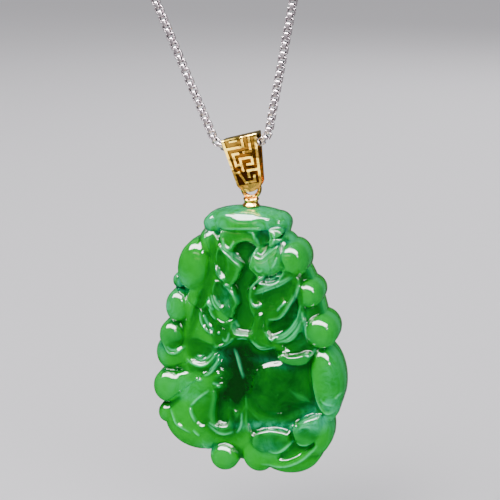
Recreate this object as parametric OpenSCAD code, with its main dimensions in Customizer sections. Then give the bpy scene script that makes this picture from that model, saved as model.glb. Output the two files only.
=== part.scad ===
// Carved jade pendant on a gold bail and cup, hanging from a box chain.
// The loop of the chain stands in the XZ plane and the carved face looks along -Y.
// The origin is the inner side of the loop's top, where the chain lies on a neck.

/* [Chain] */
// Length of the chain all the way round
chain_len = 500; // [420:5:600]
// Width of the box chain
chain_w = 1.2; // [0.9:0.05:1.3]
// Lean of the left strand from the vertical
left_lean = 23.5; // [16:0.5:26]
// Lean of the right strand from the vertical
right_lean = 10.5; // [8:0.5:16]
// Radius in which the chain turns up at the left of the bail
left_turn_r = 2.5; // [2:0.1:4]
// Radius in which the chain turns up at the right of the bail
right_turn_r = 2.6; // [1.8:0.1:3]
// Slope of the chain's straight stretch in the bail
chain_slope = 10; // [0:1:12]

/* [Clasp] */
// Outer diameter of the clasp's ring
clasp_d = 6; // [4.5:0.1:8]
// Thickness of the clasp's ring
clasp_wire = 1.2; // [0.8:0.05:1.4]
// Outer diameter of the eyes that the chain's ends hook into
end_eye_d = 2.6; // [2.2:0.1:3.4]
// Thickness of the end eyes
end_eye_wire = 0.6; // [0.4:0.05:0.7]
// Angle round the neck from the loop's top to the clasp
clasp_turn = 28; // [24:1:40]

/* [Bail] */
// Height of the bail from its top to the foot of its plates
bail_h = 8.6; // [8:0.1:11]
// Width of the plates at the top
bail_top_w = 5.5; // [5.2:0.1:7]
// Width of the plates at the foot
bail_foot_w = 3.6; // [3:0.1:4.3]
// Radius of the plates' rounded foot
bail_foot_r = 2.1; // [2:0.1:3]
// Depth of the bail at the top, from front to back
bail_depth = 3.3; // [2.8:0.05:3.6]
// Radius of the bends between the bail's top and its plates
bail_corner = 0.35; // [0.25:0.05:0.5]
// Thickness of the bail's gold
bail_wall = 0.42; // [0.34:0.02:0.5]
// Height of the raised border and meander
meander_rise = 0.2; // [0.1:0.02:0.24]
// Width of the meander's strokes
meander_w = 0.36; // [0.3:0.02:0.46]
// Width of the raised border
border_w = 0.36; // [0.24:0.02:0.5]
// Tilt of the bail on the slanting chain
bail_tilt = 12; // [0:1:14]
// Slant of the bail's top against its plates
bail_slant = 3; // [0:0.5:3]
// Diameter of the bar that joins the plates at the foot
bar_d = 0.8; // [0.6:0.05:0.9]

/* [Eye and cup] */
// Outer diameter of the eye
eye_d = 3.3; // [3.1:0.1:4]
// Thickness of the eye's wire
eye_wire = 0.66; // [0.5:0.02:0.7]
// Diameter of the cup's rim
cup_d = 2.6; // [2.2:0.1:3.4]
// Diameter of the cup's waist
cup_waist_d = 2.1; // [1.6:0.1:2.2]
// Height of the cup
cup_h = 1.4; // [1.2:0.1:2.4]

/* [Jade] */
// Width of the carving
jade_w = 30; // [24:0.5:36]
// Height of the carving
jade_h = 43; // [36:0.5:50]
// Share of its width that the carving loses over half its height
jade_taper = 0.06; // [0:0.01:0.1]
// Depth of the relief in front of the middle plane
relief_h = 5; // [3.5:0.1:6]
// Depth of the plain back behind the middle plane
back_h = 3.6; // [2:0.1:4]

/* [Hidden] */

gold = "gold";
steel = "gainsboro";
green = "mediumseagreen";

// Clearances between pieces that touch or turn on each other
rest_gap = 0.05;
turn_gap = 0.1;
// Length by which a cut runs past a surface
past = 1;

// Chain's route
// It runs straight through the bail, turns up from inside its two edges, follows the two
// strands and closes in an arc round the neck.
bend_inset = 0.8;
bridge = bail_top_w / 2 - bend_inset;
bridge_dir = [cos(chain_slope), sin(chain_slope)];
bridge_up = [-sin(chain_slope), cos(chain_slope)];
left_dir = [-sin(left_lean), cos(left_lean)];
right_dir = [sin(right_lean), cos(right_lean)];
left_centre = -bridge * bridge_dir + left_turn_r * bridge_up;
right_centre = bridge * bridge_dir + right_turn_r * bridge_up;
left_foot = left_centre - left_turn_r * [cos(left_lean), sin(left_lean)];
right_foot = right_centre + right_turn_r * [cos(right_lean), -sin(right_lean)];
// The strands' straight lines meet at the crossing, below the bail's chain
left_reach = cross(right_foot - left_foot, right_dir) / cross(left_dir, right_dir);
crossing = left_foot + left_reach * left_dir;
half_angle = (left_lean + right_lean) / 2;
neck_dir = [-sin((left_lean - right_lean) / 2), cos((left_lean - right_lean) / 2)];
left_turn = 90 - left_lean + chain_slope;
right_turn = 90 - right_lean - chain_slope;
saved = norm(left_foot - crossing) + norm(right_foot - crossing)
    - (left_turn * left_turn_r + right_turn * right_turn_r) * PI / 180 - 2 * bridge;
loop_r = (chain_len + saved) / (2 / tan(half_angle) + (180 + 2 * half_angle) * PI / 180);
neck_centre = [0, chain_w / 2 - loop_r];
hang = neck_centre - crossing - loop_r / sin(half_angle) * neck_dir;

// Places of the pieces along the chain's loop, as angles about the neck's centre
eye_step = ((clasp_d - clasp_wire) + (end_eye_d - end_eye_wire)) / 2;
end_step = eye_step + end_eye_d / 2 + rest_gap;
function arc_angle(length) = length / loop_r * 180 / PI;
clasp_angle = 90 - clasp_turn;

// A ring of the tube every few millimetres, closer where the chain turns
neck_steps = 30;
strand_steps = 9;
turn_steps = 7;
tube_sides = 8;
function on_arc(centre, r, angle) = centre + r * [cos(angle), sin(angle)];
route = concat(
    [for (i = [0:neck_steps]) let (from = clasp_angle + arc_angle(end_step), to = 180 + left_lean)
        on_arc(neck_centre, loop_r, from + (to - from) * i / neck_steps)],
    [for (i = [1:strand_steps])
        let (from = on_arc(neck_centre, loop_r, 180 + left_lean), to = hang + left_foot)
        from + (to - from) * i / strand_steps],
    [for (i = [1:turn_steps])
        on_arc(hang + left_centre, left_turn_r, 180 + left_lean + left_turn * i / turn_steps)],
    [for (i = [0:turn_steps])
        on_arc(hang + right_centre, right_turn_r, 270 + chain_slope + right_turn * i / turn_steps)],
    [for (i = [1:strand_steps])
        let (from = hang + right_foot, to = on_arc(neck_centre, loop_r, -right_lean))
        from + (to - from) * i / strand_steps],
    [for (i = [1:neck_steps / 2])
        let (from = -right_lean, to = clasp_angle - arc_angle(end_step))
        on_arc(neck_centre, loop_r, from + (to - from) * i / (neck_steps / 2))]
);

// Bail, in its own frame: the chain's line is the origin and the plates hang below
bail_r = bail_depth / 2;
roof_z = 1.5;
foot_z = roof_z - bail_h;
foot_lip = 0.55;
bar_z = foot_z + foot_lip + bar_d / 2;
slot_half = eye_wire / 2 + turn_gap;
// The plates lean until the eye's slot is left between their feet
inner_corner = 0.1;
inner_shoulder = [bail_r - bail_wall - inner_corner, roof_z - bail_wall - inner_corner];
slot_reach = [inner_shoulder[0] - slot_half, inner_shoulder[1] - foot_z];
plate_lean = asin(inner_corner / norm(slot_reach)) + atan(slot_reach[0] / slot_reach[1]);
// The front plate's face: how far out it stands, and its top edge along the plate
shoulder = [bail_r - bail_corner, roof_z - bail_corner];
face = bail_corner + shoulder[0] * cos(plate_lean) - shoulder[1] * sin(plate_lean);
face_top = shoulder[0] * sin(plate_lean) + shoulder[1] * cos(plate_lean);
plate_len = face_top - (foot_z + face * sin(plate_lean)) / cos(plate_lean);
function face_z(drop) = (face_top - drop) * cos(plate_lean) - face * sin(plate_lean);
function plate_half_w(drop) =
    bail_top_w / 2 - (bail_top_w - bail_foot_w) / 2 * (roof_z - face_z(drop)) / bail_h;
// Columns and rows of the meander's grid on the front plate, which begins below the top bend
grid_cols = 6;
grid_rows = 10.84;
bend_row = 1.1;

// The meander's strokes on a grid of columns from the left border and rows from the top
STROKES = [
    // from_col, from_row, to_col, to_row
    [0, 2.5, 3.5, 2.5],
    [3.5, 2.5, 3.5, 0],
    [1.3, 1.2, 2.4, 1.2],
    [4.8, 0.9, 4.8, 3.5],
    [4.8, 3.5, 3.4, 3.5],
    [1.1, 3.6, 1.1, 5.7],
    [1.1, 3.6, 2.2, 3.6],
    [1.1, 5.7, 2.1, 5.7],
    [2.3, 4.6, 2.3, 6.8],
    [2.3, 4.6, 4.8, 4.6],
    [4.8, 4.6, 4.8, 5.8],
    [4.8, 5.8, 3.6, 5.8],
    [6, 6.9, 3.4, 6.9],
    [3.4, 6.9, 3.4, 8],
    [0, 7, 1.2, 7],
    [1.2, 7, 2.2, 9],
    [2.2, 9, 4.7, 9],
    [4.7, 9, 4.7, 8]
];

// Drop: the eye hangs on the bail's bar, the cup is soldered under it and sits on the jade
function tilted(point) = [
    point[0] * cos(bail_tilt) - point[1] * sin(bail_tilt),
    point[0] * sin(bail_tilt) + point[1] * cos(bail_tilt)
];
bar_at = hang + tilted([0, bar_z]);
eye_hole_r = eye_d / 2 - eye_wire;
eye_at = bar_at - [0, eye_hole_r - bar_d / 2 - rest_gap];
solder = eye_wire / 2;
cup_top = eye_at[1] - eye_d / 2 + solder;

// Jade, as a field of heights over rings that follow its outline
half_w = jade_w / 2;
half_h = jade_h / 2;
front_rings = 30;
sectors = 8;
back_rings = [0.995, 0.985, 0.96, 0.9];
back_plump = 60;
// Places of the drop's middle beside and behind the bar, so that it hangs straight
jade_beside = -0.165;
jade_behind = -0.09;
// Power of the mean that blends neighbouring forms, and how round a fold's crest is
blend = 14;
// Height from which the carving narrows upwards and widens downwards
taper_from = -0.15;
crest_share = 0.25;

// Rounded forms. Places and half sizes are shares of half the width and half the height,
// rise is a share of the relief's depth and plump squares the form's shoulders.
LUMPS = [
    // x, z, half_w, half_h, turn, rise, plump
    // Canopy at the top and the shoulders under it
    [-0.02, 0.885, 0.43, 0.082, 0, 0.92, 4],
    [-0.34, 0.86, 0.145, 0.075, 8, 0.84, 3.4],
    [0.305, 0.865, 0.135, 0.075, -8, 0.84, 3.4],
    [-0.02, 0.755, 0.35, 0.075, 0, 0.76, 3],
    [-0.385, 0.71, 0.165, 0.12, 0, 0.70, 3],
    [0.35, 0.69, 0.17, 0.11, 0, 0.62, 3],
    // Ground of the carving
    [0.03, -0.04, 0.83, 0.90, 0, 0.68, 6],
    // Lumps down the left edge
    [-0.565, 0.545, 0.185, 0.19, -10, 0.84, 3],
    [-0.55, 0.28, 0.12, 0.20, -12, 0.74, 3],
    [-0.735, 0.42, 0.08, 0.06, 0, 0.56, 2.4],
    [-0.74, 0.235, 0.137, 0.125, 0, 0.80, 2.8],
    [-0.80, 0.015, 0.137, 0.115, 0, 0.82, 2.8],
    [-0.80, -0.125, 0.18, 0.14, 0, 0.66, 2.8],
    [-0.82, -0.375, 0.17, 0.13, 0, 0.82, 2.8],
    [-0.60, -0.36, 0.24, 0.11, 0, 0.76, 3],
    [-0.84, -0.59, 0.10, 0.08, 0, 0.64, 2.4],
    [-0.474, -0.61, 0.40, 0.25, 0, 0.78, 3.5],
    // Lumps along the foot
    [-0.225, -0.885, 0.15, 0.11, 0, 0.80, 2.6],
    [0.12, -0.85, 0.17, 0.14, 0, 0.68, 3],
    [0.41, -0.745, 0.375, 0.24, 0, 0.72, 3.5],
    [0.286, -0.71, 0.185, 0.085, 4, 0.86, 3],
    [0.67, -0.645, 0.205, 0.18, 0, 0.80, 3],
    [0.63, -0.625, 0.12, 0.088, -10, 0.90, 3],
    // Beads up the right edge
    [0.80, -0.465, 0.14, 0.10, 0, 0.64, 2.8],
    [0.92, -0.41, 0.05, 0.05, 0, 0.64, 2.4],
    [0.83, -0.24, 0.175, 0.24, 6, 0.86, 2.8],
    [0.785, 0.115, 0.174, 0.123, 0, 0.84, 2.6],
    [0.665, 0.385, 0.145, 0.10, 0, 0.80, 2.6],
    [0.50, 0.62, 0.165, 0.13, 0, 0.86, 2.6],
    // Tongue and leaves at the left of the channel
    [-0.08, 0.765, 0.065, 0.07, 0, 0.80, 2.6],
    [-0.20, 0.54, 0.13, 0.15, 25, 0.80, 2.8],
    [-0.24, 0.29, 0.17, 0.16, 10, 0.78, 3],
    [-0.32, 0.08, 0.20, 0.13, 0, 0.78, 3],
    // Forms at the right of the channel
    [0.26, 0.79, 0.07, 0.06, 0, 0.76, 2.6],
    [0.23, 0.60, 0.16, 0.12, 0, 0.86, 2.8],
    [0.16, 0.085, 0.11, 0.13, 0, 0.84, 2.6],
    // Smooth dome and the terrace round it
    [0.345, -0.344, 0.34, 0.20, 0, 0.88, 3.2],
    [0.33, -0.36, 0.375, 0.265, 0, 0.76, 6]
];

// Hollows, which keep only a share of the height that they are cut into
HOLLOWS = [
    // x, z, half_w, half_h, turn, keep, soft
    [-0.01, 0.62, 0.10, 0.13, 0, 0.45, 0.8],
    [-0.01, 0.42, 0.07, 0.13, 0, 0.50, 0.8],
    [-0.055, 0.21, 0.10, 0.14, 0, 0.42, 0.8],
    [-0.125, -0.225, 0.13, 0.17, -5, 0.45, 0.8],
    [0.09, -0.09, 0.20, 0.045, -8, 0.65, 0.8],
    [0.32, 0.345, 0.17, 0.055, 14, 0.70, 0.8],
    [0.44, 0.19, 0.14, 0.07, 45, 0.70, 0.8],
    [-0.265, -0.535, 0.06, 0.10, 0, 0.50, 0.7],
    [0.36, -0.625, 0.13, 0.03, -5, 0.72, 0.8],
    [0.06, -0.68, 0.06, 0.06, 0, 0.72, 0.8],
    [0.55, -0.80, 0.17, 0.055, 25, 0.72, 0.8],
    [-0.43, 0.485, 0.03, 0.17, -16, 0.78, 0.9],
    [-0.47, 0.245, 0.03, 0.14, -10, 0.78, 0.9],
    [-0.62, 0.0, 0.035, 0.14, -24, 0.78, 0.9],
    [-0.42, -0.28, 0.15, 0.04, 20, 0.75, 0.9],
    [-0.25, 0.60, 0.07, 0.07, 20, 0.80, 0.9],
    [-0.24, 0.33, 0.09, 0.06, 15, 0.78, 0.9],
    [-0.35, 0.10, 0.07, 0.07, 10, 0.78, 0.9]
];

// Folds: raised ridges that bow between two points, with a slope to the left and to the right
FOLDS = [
    // x0, z0, x1, z1, bow, rise, left_w, right_w
    [-0.27, 0.72, -0.03, 0.56, -0.01, 0.22, 0.025, 0.09],
    [-0.25, 0.77, -0.1, 0.75, -0.09, 0.18, 0.03, 0.05],
    [-0.32, 0.56, -0.21, 0.45, -0.03, 0.13, 0.05, 0.02],
    [-0.22, 0.42, -0.07, 0.28, 0.02, 0.16, 0.02, 0.05],
    [-0.36, 0.35, -0.26, 0.23, -0.02, 0.14, 0.05, 0.02],
    [-0.38, 0.25, -0.31, 0.16, -0.01, 0.13, 0.05, 0.02],
    [-0.5, 0.22, -0.35, 0.04, -0.03, 0.18, 0.06, 0.025],
    [-0.36, -0.05, -0.12, 0.04, -0.04, 0.14, 0.07, 0.02],
    [-0.14, 0.14, 0.03, 0.07, -0.06, 0.18, 0.02, 0.05],
    [0.02, 0.83, 0.16, 0.72, 0.03, 0.18, 0.03, 0.05],
    [0.16, 0.73, 0.05, 0.56, -0.03, 0.18, 0.05, 0.025],
    [0.17, 0.62, 0.38, 0.75, 0, 0.14, 0.05, 0.03],
    [0.3, 0.84, 0.27, 0.72, 0.04, 0.14, 0.03, 0.05],
    [0.23, 0.53, 0.04, 0.4, 0, 0.18, 0.03, 0.05],
    [0.15, 0.45, 0.44, 0.56, -0.06, 0.18, 0.02, 0.05],
    [0.09, 0.37, 0.54, 0.52, -0.02, 0.22, 0.025, 0.03],
    [0.06, 0.35, 0.19, 0.3, -0.05, 0.14, 0.04, 0.03],
    [0.24, 0.19, 0.6, 0.49, -0.09, 0.23, 0.05, 0.03],
    [0.28, 0.06, 0.61, 0.33, -0.08, 0.22, 0.06, 0.02],
    [0.33, 0.03, 0.62, 0.22, -0.05, 0.14, 0.02, 0.03],
    [0.37, -0.03, 0.72, 0.01, -0.03, 0.16, 0.07, 0.02],
    [0.04, 0.03, 0.33, -0.01, -0.06, 0.14, 0.05, 0.02],
    [-0.88, -0.03, -0.63, -0.06, -0.1, 0.14, 0.05, 0.02],
    [-0.64, -0.15, -0.28, -0.08, -0.1, 0.2, 0.08, 0.02],
    [-0.44, -0.27, -0.25, -0.13, -0.03, 0.16, 0.05, 0.02],
    [-0.36, -0.37, -0.57, -0.51, -0.01, 0.11, 0.04, 0.04],
    [-0.57, -0.5, -0.5, -0.62, -0.01, 0.11, 0.04, 0.04],
    [-0.14, -0.05, -0.03, -0.29, 0, 0.14, 0.02, 0.03],
    [-0.02, -0.1, 0.13, -0.16, -0.01, 0.13, 0.05, 0.02],
    [-0.14, -0.48, -0.17, -0.7, 0.07, 0.23, 0.05, 0.05],
    [-0.11, -0.68, -0.39, -0.63, 0.06, 0.23, 0.05, 0.05],
    [-0.81, -0.5, -0.49, -0.74, -0.06, 0.14, 0.1, 0.03],
    [-0.35, -0.37, -0.02, -0.41, -0.06, 0.16, 0.03, 0.05],
    [0.7, -0.23, 0.99, -0.43, -0.16, 0.16, 0.05, 0.025],
    [0.55, -0.57, 0.8, -0.47, 0.01, 0.14, 0.03, 0.04],
    [0.23, -0.79, 0.51, -0.69, -0.05, 0.14, 0.06, 0.02],
    [0.13, -0.91, 0.77, -0.7, -0.11, 0.13, 0.06, 0.05]
];

function total(list) = list * [for (item = list) 1];
function product(list, i = 0) = i == len(list) ? 1 : list[i] * product(list, i + 1);

// A step from a form's centre, measured in the form's own half sizes
function in_form(form, x, z) = let (
    wide = x * half_w,
    high = z * half_h
) [
    (wide * cos(form[4]) + high * sin(form[4])) / (form[2] * half_w),
    (high * cos(form[4]) - wide * sin(form[4])) / (form[3] * half_h)
];
function from_form(form, x, z) = norm(in_form(form, x - form[0], z - form[1]));

function lump_rise(form, x, z) = let (away = from_form(form, x, z))
    away >= 1 ? 0 : form[5] * sqrt(1 - pow(away, form[6]));

function hollow_keep(form, x, z) = let (
    away = from_form(form, x, z),
    depth = min(1, max(0, (1 + form[6] - away) / (2 * form[6])))
) 1 - (1 - form[5]) * depth * depth * (3 - 2 * depth);

function fold_rise(fold, x, z) = let (
    run = [(fold[2] - fold[0]) * half_w, (fold[3] - fold[1]) * half_h],
    from = [(x - fold[0]) * half_w, (z - fold[1]) * half_h],
    share = from * run / (run * run),
    bow = 4 * fold[4] * half_w,
    slope = bow * (1 - 2 * share) / norm(run),
    side = (cross(run, from) / norm(run) - bow * share * (1 - share)) / sqrt(1 + slope * slope),
    wide = (side > 0 ? fold[6] : fold[7]) * half_w,
    crest = crest_share * wide
) share <= 0 || share >= 1 || abs(side) > 5 * wide ? 0
    : fold[5] * exp((crest - norm([side, crest])) / wide) * sqrt(4 * share * (1 - share));

// Height of the carved face over a place, as a share of the relief's depth
function relief(x, z) = let (
    body = pow(total([for (form = LUMPS) pow(lump_rise(form, x, z), blend)]), 1 / blend),
    cut = product([for (form = HOLLOWS) hollow_keep(form, x, z)]),
    raised = total([for (fold = FOLDS) fold_rise(fold, x, z)])
) body * cut + raised * min(1, body / 0.4);

// How far the outline lies from the middle in one direction
function reach(form, angle) = let (
    way = in_form(form, cos(angle), sin(angle)),
    centre = in_form(form, form[0], form[1]),
    across = pow(way * centre, 2) - way * way * (centre * centre - 1)
) across < 0 ? 0 : (way * centre + sqrt(across)) / (way * way);
function outline(angle) = max([for (form = LUMPS) reach(form, angle)]);

crown = LUMPS[0][1] + LUMPS[0][3];
jade_at = [bar_at[0] + jade_beside, cup_top - cup_h - rest_gap - crown * half_h];

module chain_tube() {
    // Direction of the route at each of its points, and one ring of the tube there
    last = len(route) - 1;
    function heading(i) = let (step = route[min(i + 1, last)] - route[max(i - 1, 0)]) step / norm(step);
    wall = chain_w / 2 / cos(180 / tube_sides);
    points = [for (i = [0:last]) for (k = [0:tube_sides - 1])
        let (out = wall * cos(360 * (k + 0.5) / tube_sides), side = wall * sin(360 * (k + 0.5) / tube_sides))
        [route[i][0] - out * heading(i)[1], side, route[i][1] + out * heading(i)[0]]];
    faces = concat(
        [[for (k = [tube_sides - 1:-1:0]) k]],
        [for (i = [0:last - 1]) for (k = [0:tube_sides - 1])
            let (next = (k + 1) % tube_sides, a = i * tube_sides, b = a + tube_sides)
            [a + k, a + next, b + next, b + k]],
        [[for (k = [0:tube_sides - 1]) last * tube_sides + k]]
    );
    polyhedron(points, faces, convexity = 4);
}

module ring(outer_d, wire) {
    rotate([90, 0, 0])
        rotate_extrude($fn = 48)
            translate([(outer_d - wire) / 2, 0])
                circle(d = wire, $fn = 24);
}

module chain() {
    color(steel) chain_tube();
}

// One plain piece: a ring with an eye on each side for the chain's ends
module clasp() {
    color(steel)
        translate([neck_centre[0], 0, neck_centre[1]])
            rotate([0, -clasp_angle, 0]) {
                translate([loop_r, 0, 0]) ring(clasp_d, clasp_wire);
                for (side = [-1, 1])
                    rotate([0, side * arc_angle(eye_step), 0])
                        translate([loop_r, 0, 0]) ring(end_eye_d, end_eye_wire);
            }
}

// Side profile of the bail, or of its inside: a flat top with two plates that lean together
module bail_profile(centre, corner, foot) {
    out = centre + corner * [cos(plate_lean), -sin(plate_lean)];
    low = [out[0] + (foot - out[1]) * tan(plate_lean), foot];
    top = centre[1] + corner;
    rotate([0, -bail_slant, 0])
        rotate([90, 0, 90])
            linear_extrude(bail_top_w + past, center = true) {
                for (side = [-1, 1]) translate([side * centre[0], centre[1]]) circle(corner, $fn = 32);
                polygon([
                    out, low, [-low[0], low[1]], [-out[0], out[1]],
                    [-centre[0], centre[1]], [-centre[0], top], [centre[0], top], centre
                ]);
            }
}

module plate_outline() {
    foot_centre = foot_z + bail_foot_r;
    head = roof_z + past;
    head_w = bail_top_w + (bail_top_w - bail_foot_w) * past / bail_h;
    intersection() {
        polygon([
            [-head_w / 2, head],
            [head_w / 2, head],
            [bail_foot_w / 2, foot_z],
            [-bail_foot_w / 2, foot_z]
        ]);
        union() {
            translate([-head_w, foot_centre]) square([2 * head_w, bail_h]);
            translate([0, foot_centre]) circle(bail_foot_r, $fn = 64);
        }
    }
}

// A place on the meander's grid, on the front plate
function on_grid(col, row) = let (drop = (row - bend_row) / (grid_rows - bend_row) * plate_len)
    [(2 * col / grid_cols - 1) * (plate_half_w(drop) - border_w / 2), face_top - drop];

module stroke(from, to) {
    along = (to - from) / norm(to - from) * meander_w / 2;
    across = [-along[1], along[0]];
    polygon([from - along + across, to + along + across, to + along - across, from - along - across]);
}

// The sunk ground of the meander, with the strokes left standing in it
module meander_ground() {
    top = -bail_corner * 0.9;
    low = plate_len - bail_foot_r * 0.6;
    difference() {
        polygon([
            [-plate_half_w(top) + border_w, face_top - top],
            [plate_half_w(top) - border_w, face_top - top],
            [plate_half_w(low) - border_w, face_top - low],
            [-plate_half_w(low) + border_w, face_top - low]
        ]);
        for (s = STROKES) stroke(on_grid(s[0], s[1]), on_grid(s[2], s[3]));
    }
}

module bail() {
    // The bar's ends stand in the middle of the plates' gold
    bar_len = 2 * (slot_half + (bar_z - foot_z) * tan(plate_lean)) + bail_wall;
    color(gold)
        translate([hang[0], 0, hang[1]])
            rotate([0, -bail_tilt, 0]) {
                difference() {
                    intersection() {
                        bail_profile(shoulder, bail_corner, foot_z - past);
                        rotate([90, 0, 0])
                            linear_extrude(bail_depth + past, center = true) plate_outline();
                    }
                    bail_profile(inner_shoulder, inner_corner, foot_z - 2 * past);
                    rotate([0, -bail_slant, 0])
                        rotate([90 + plate_lean, 0, 0])
                            translate([0, 0, face - meander_rise])
                                linear_extrude(past) rotate(-bail_slant) meander_ground();
                }
                translate([0, 0, bar_z])
                    rotate([90, 0, 0])
                        cylinder(h = bar_len, d = bar_d, center = true, $fn = 32);
            }
}

// The eye, with the cup soldered under it: a waist between a collar and a flared rim
module eye_cup() {
    rim_r = cup_d / 2;
    waist_r = cup_waist_d / 2;
    color(gold) {
        translate([eye_at[0], 0, eye_at[1]]) ring(eye_d, eye_wire);
        translate([bar_at[0], 0, cup_top - cup_h])
            rotate_extrude($fn = 48)
                polygon([
                    [0, 0],
                    [rim_r, 0],
                    [rim_r, 0.16 * cup_h],
                    [waist_r, 0.42 * cup_h],
                    [waist_r, 0.6 * cup_h],
                    [rim_r * 0.94, 0.78 * cup_h],
                    [rim_r * 0.86, 0.92 * cup_h],
                    [waist_r * 0.6, cup_h],
                    [0, cup_h]
                ]);
    }
}

module jade() {
    rings = front_rings;
    around = sectors * rings;
    edge = [for (m = [0:around - 1]) outline(360 * m / around)];
    function place(share, angle, wide) = let (out = share * wide) [out * cos(angle), out * sin(angle)];
    function on_face(at, y) = [at[0] * half_w * (1 - jade_taper * (at[1] - taper_from)), y, at[1] * half_h];
    function first(k) = k == 0 ? 0 : 1 + sectors / 2 * k * (k - 1);
    function ring_share(k) = k / rings * (1.25 - 0.25 * k / rings);
    front = [for (k = [0:rings]) for (m = [0:max(0, sectors * k - 1)]) let (
        angle = k == 0 ? 0 : 360 * m / (sectors * k),
        at = place(ring_share(k), angle, k == rings ? edge[m] : outline(angle)),
        high = k == rings ? 0 : relief(at[0], at[1])
    ) on_face(at, -relief_h * high)];
    back = [for (share = back_rings) for (m = [0:around - 1])
        let (at = place(share, 360 * m / around, edge[m]))
        on_face(at, back_h * sqrt(1 - pow(share, back_plump)))];
    points = concat(front, back, [[0, back_h, 0]]);
    rim = first(rings);
    function back_first(j) = j < 0 ? rim : len(front) + j * around;
    last_back = back_first(len(back_rings) - 1);
    faces = concat(
        [for (k = [1:rings]) for (side = [0:sectors - 1]) for (j = [0:k - 1])
            let (o = first(k), i = first(k - 1), inner = max(1, sectors * (k - 1)))
            [o + side * k + j, i + (side * (k - 1) + j) % inner, o + (side * k + j + 1) % (sectors * k)]],
        [for (k = [2:rings]) for (side = [0:sectors - 1]) for (j = [0:k - 2])
            let (o = first(k), i = first(k - 1), inner = sectors * (k - 1))
            [i + side * (k - 1) + j, i + (side * (k - 1) + j + 1) % inner, o + side * k + j + 1]],
        [for (j = [-1:len(back_rings) - 2]) for (m = [0:around - 1])
            let (a = back_first(j), b = back_first(j + 1), next = (m + 1) % around)
            each [[a + m, a + next, b + next], [a + m, b + next, b + m]]],
        [for (m = [0:around - 1]) [last_back + m, last_back + (m + 1) % around, len(points) - 1]]
    );
    color(green)
        translate([jade_at[0], jade_behind, jade_at[1]])
            polyhedron(points, faces, convexity = 10);
}

jade();
eye_cup();
bail();
chain();
clasp();
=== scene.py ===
import math
import bpy
import numpy as np
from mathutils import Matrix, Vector


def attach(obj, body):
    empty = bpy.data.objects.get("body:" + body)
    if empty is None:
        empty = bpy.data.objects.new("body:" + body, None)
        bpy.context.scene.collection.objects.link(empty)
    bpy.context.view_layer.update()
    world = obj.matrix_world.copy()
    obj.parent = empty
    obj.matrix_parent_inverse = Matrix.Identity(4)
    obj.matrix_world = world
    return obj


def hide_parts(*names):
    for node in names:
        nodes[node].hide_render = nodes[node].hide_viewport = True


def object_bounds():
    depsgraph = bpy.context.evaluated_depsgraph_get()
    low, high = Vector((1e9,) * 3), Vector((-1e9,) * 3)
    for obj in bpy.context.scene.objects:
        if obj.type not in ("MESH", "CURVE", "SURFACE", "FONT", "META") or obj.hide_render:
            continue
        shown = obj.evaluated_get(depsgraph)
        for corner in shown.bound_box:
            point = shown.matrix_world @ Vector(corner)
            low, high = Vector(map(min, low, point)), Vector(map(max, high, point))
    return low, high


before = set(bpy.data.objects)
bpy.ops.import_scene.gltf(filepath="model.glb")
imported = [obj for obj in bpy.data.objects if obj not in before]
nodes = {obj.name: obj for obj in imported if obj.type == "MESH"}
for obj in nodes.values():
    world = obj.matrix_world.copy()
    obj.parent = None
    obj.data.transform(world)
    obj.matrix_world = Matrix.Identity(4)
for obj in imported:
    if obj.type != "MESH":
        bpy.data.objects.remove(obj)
cad_box = [list(corner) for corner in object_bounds()]
MM = 0.001

# Jade: its place and sizes from part.scad, in millimetres
JADE_AT = np.array([19.425, -0.09, -239.422])
HALF_W = 15.0
HALF_H = 21.5
RELIEF = 5.0
BACK = 3.6
# Share of its width that it loses over half its height, and the height where it loses none
TAPER = 0.06
TAPER_FROM = -0.15
# Squareness of the back's rim, and the shares of the outline at which the back has points
BACK_PLUMP = 60
BACK_RINGS = (0.995, 0.985, 0.96, 0.90, 0.75, 0.45)
# Sharpness of the joins between the lumps
BLEND = 14
RINGS = 148

# Where a place of the face lies, against where the camera sees it: its shifts along X and Z
# at full height, and the slant of Z with X
SEEN_X = 0.082
SEEN_Z = 0.056
SEEN_SLANT = 0.042

# Bail: its place, sizes and angles from part.scad, in millimetres and degrees
BAIL_AT = np.array([18.3113, 0, -209.306])
BAIL_TOP_W = 5.5
BAIL_TILT = 12
BAIL_SLANT = 3
BAIL_LEAN = 5.658
# Distance of its raised face from the chain's middle, square to the plate
BAIL_FACE = 1.530
# Its sunk ground: the top above the chain's middle, half its width there, and how much of
# that it loses for each millimetre down
GROUND_TOP = 1.5
GROUND_HALF = 2.4
GROUND_TAPER = 0.1105

# Chain and clasp: their sizes and angles from part.scad
CHAIN_LEN = 500.0
CHAIN_W = 1.2
LEFT_LEAN = math.radians(23.5)
RIGHT_LEAN = math.radians(10.5)
LEFT_R = 2.5
RIGHT_R = 2.6
CHAIN_SLOPE = math.radians(10)
BRIDGE = BAIL_TOP_W / 2 - 0.8
CLASP_D = 6.0
CLASP_WIRE = 1.2
EYE_D = 2.6
EYE_WIRE = 0.6
CLASP_ANGLE = math.radians(90 - 28)

# Links, in millimetres: length, width, thickness and width of the strip, step from link to
# link, the softening of the strip's edges and the link's corners
LINK_LONG = 1.12
LINK_ACROSS = 1.24
LINK_STRIP = 0.185
LINK_WIDE = 0.56
LINK_PITCH = 0.715
LINK_SOFT = 0.045
LINK_CORNER = 0.16
LINK_CORNER_LEAST = 0.03
CORNER_STEPS = 3
# Room that each end of the chain leaves for its ring, and how far past it the ring's middle is
END_ROOM = 0.4
END_RING_OUT = 0.26
END_RING_D = 1.75
END_RING_WIRE = 0.28
RING_STEPS = 32
RING_SIDES = 10
SIDE = np.array([0, 1.0, 0])

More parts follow.
